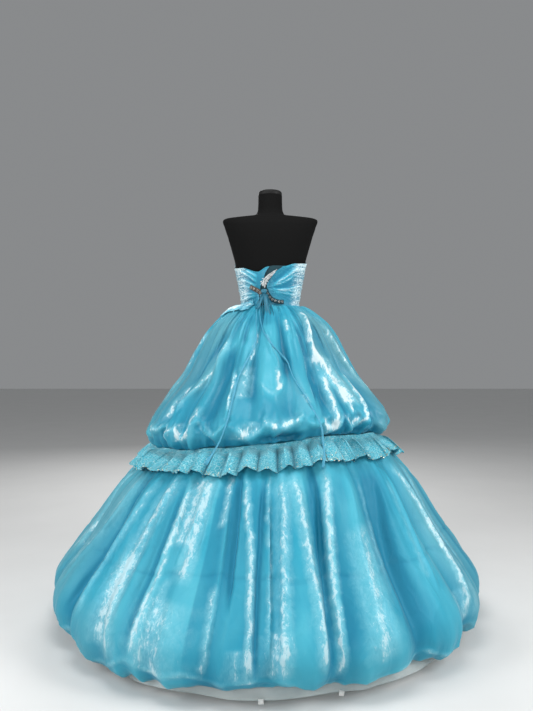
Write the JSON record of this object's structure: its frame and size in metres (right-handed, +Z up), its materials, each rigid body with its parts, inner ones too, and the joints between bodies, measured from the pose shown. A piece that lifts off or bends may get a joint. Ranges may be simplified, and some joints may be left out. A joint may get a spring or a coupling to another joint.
{
  "type": "ball gown on a dress form",
  "caption": "Strapless ball gown with a ruched, back-laced bodice, a puffed overskirt over a lace flounce, a gathered bubble skirt and a petticoat, on a headless dress form with a stand.",
  "frame": {"origin": "on the floor, at the middle of the skirts' spread", "axes": "+Z up; the gown's front faces -Y and its laced back faces +Y; +X is the wearer's left"},
  "size_m": [1.529, 1.5336, 1.5535],
  "materials": {
    "organza": "glossy sheer mirror organza over a dull lining",
    "lace": "matt embroidered lace with small beige sequins",
    "petticoat": "stiff sheer greyish organza",
    "teal_lining": "dark satin",
    "brown_tape": "woven tape with eyelets",
    "silver_cord": "shiny braided cord",
    "ribbon": "narrow satin ribbon",
    "form": "matt black flocked shell",
    "stand": "satin black paint",
    "white_tape": "white tape"
  },
  "bodies": {
    "root": {"bodice_back_left": "organza", "bodice_back_right": "organza", "bodice_front": "organza", "bodice_side_left": "organza", "bodice_side_right": "organza", "bow_knot": "ribbon", "bow_loop_left": "ribbon", "bow_loop_right": "ribbon", "eyelet_tape_left": "brown_tape", "eyelet_tape_right": "teal_lining", "form_base": "stand", "form_neck_cap": "stand", "form_pole": "stand", "form_torso": "form", "hem_tab_left": "white_tape", "hem_tab_right": "white_tape", "lace_1": "lace", "lace_2": "lace", "lace_3": "lace", "lace_4": "lace", "lace_5": "lace", "lace_6": "lace", "lacing_bundle": "silver_cord", "modesty_panel": "teal_lining", "overskirt_1": "organza", "overskirt_2": "organza", "overskirt_3": "organza", "overskirt_4": "organza", "overskirt_5": "organza", "overskirt_6": "organza", "petticoat_1": "petticoat", "petticoat_2": "petticoat", "petticoat_3": "petticoat", "petticoat_4": "petticoat", "petticoat_5": "petticoat", "petticoat_6": "petticoat", "skirt_1": "organza", "skirt_2": "organza", "skirt_3": "organza", "skirt_4": "organza", "skirt_5": "organza", "skirt_6": "organza", "tail_left": "ribbon", "tail_right": "ribbon", "under_flounce_1": "petticoat", "under_flounce_2": "petticoat", "under_flounce_3": "petticoat", "under_flounce_4": "petticoat", "under_flounce_5": "petticoat", "under_flounce_6": "petticoat", "waist_ruche": "organza"}
  },
  "joints": []
}
